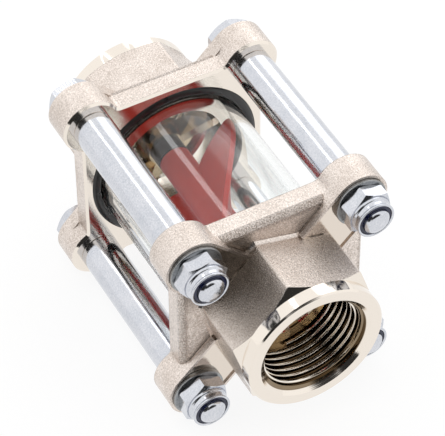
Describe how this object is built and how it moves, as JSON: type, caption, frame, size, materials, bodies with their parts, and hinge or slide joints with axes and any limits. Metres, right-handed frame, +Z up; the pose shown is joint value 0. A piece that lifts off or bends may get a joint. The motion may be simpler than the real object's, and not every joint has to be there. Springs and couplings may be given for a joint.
{
  "type": "impeller flow indicator",
  "caption": "Inline sight flow indicator: helical rotor in a glass tube clamped between two threaded cast ends by tie bolts with spacer tubes.",
  "frame": {"origin": "middle of the pipe axis, halfway between the two mouths", "axes": "+X along the pipe axis towards the outlet, +Z up, so that it lies on the two lower lugs of each end"},
  "size_m": [0.1166, 0.0704, 0.0704],
  "materials": {
    "nickel_plated_brass": "satin nickel plate over blasted brass, machined faces bright",
    "clear_glass": "clear, polished",
    "black_rubber": "smooth black",
    "black_bearing_plastic": "smooth black",
    "red_plastic": "satin",
    "steel_shaft": "ground",
    "zinc_plated_steel": "bright bluish zinc",
    "navy_nylon": "smooth"
  },
  "bodies": {
    "housing": {"inlet_body": "nickel_plated_brass", "outlet_body": "nickel_plated_brass", "sight_glass": "clear_glass", "inlet_seal_ring": "black_rubber", "outlet_seal_ring": "black_rubber", "inlet_bearing_bush": "black_bearing_plastic", "outlet_bearing_bush": "black_bearing_plastic", "spacer_tube_upper_left": "zinc_plated_steel", "tie_bolt_upper_left": "zinc_plated_steel", "washer_upper_left": "zinc_plated_steel", "lock_nut_upper_left": "zinc_plated_steel", "locking_insert_upper_left": "navy_nylon", "spacer_tube_upper_right": "zinc_plated_steel", "tie_bolt_upper_right": "zinc_plated_steel", "washer_upper_right": "zinc_plated_steel", "lock_nut_upper_right": "zinc_plated_steel", "locking_insert_upper_right": "navy_nylon", "spacer_tube_lower_left": "zinc_plated_steel", "tie_bolt_lower_left": "zinc_plated_steel", "washer_lower_left": "zinc_plated_steel", "lock_nut_lower_left": "zinc_plated_steel", "locking_insert_lower_left": "navy_nylon", "spacer_tube_lower_right": "zinc_plated_steel", "tie_bolt_lower_right": "zinc_plated_steel", "washer_lower_right": "zinc_plated_steel", "lock_nut_lower_right": "zinc_plated_steel", "locking_insert_lower_right": "navy_nylon"},
    "rotor_set": {"rotor": "red_plastic", "rotor_shaft": "steel_shaft"}
  },
  "joints": [
    {"name": "rotor_spin", "type": "hinge", "parent": "housing", "child": "rotor_set", "pos_m": [0, 0, 0], "axis": [1, 0, 0], "continuous": true}
  ]
}
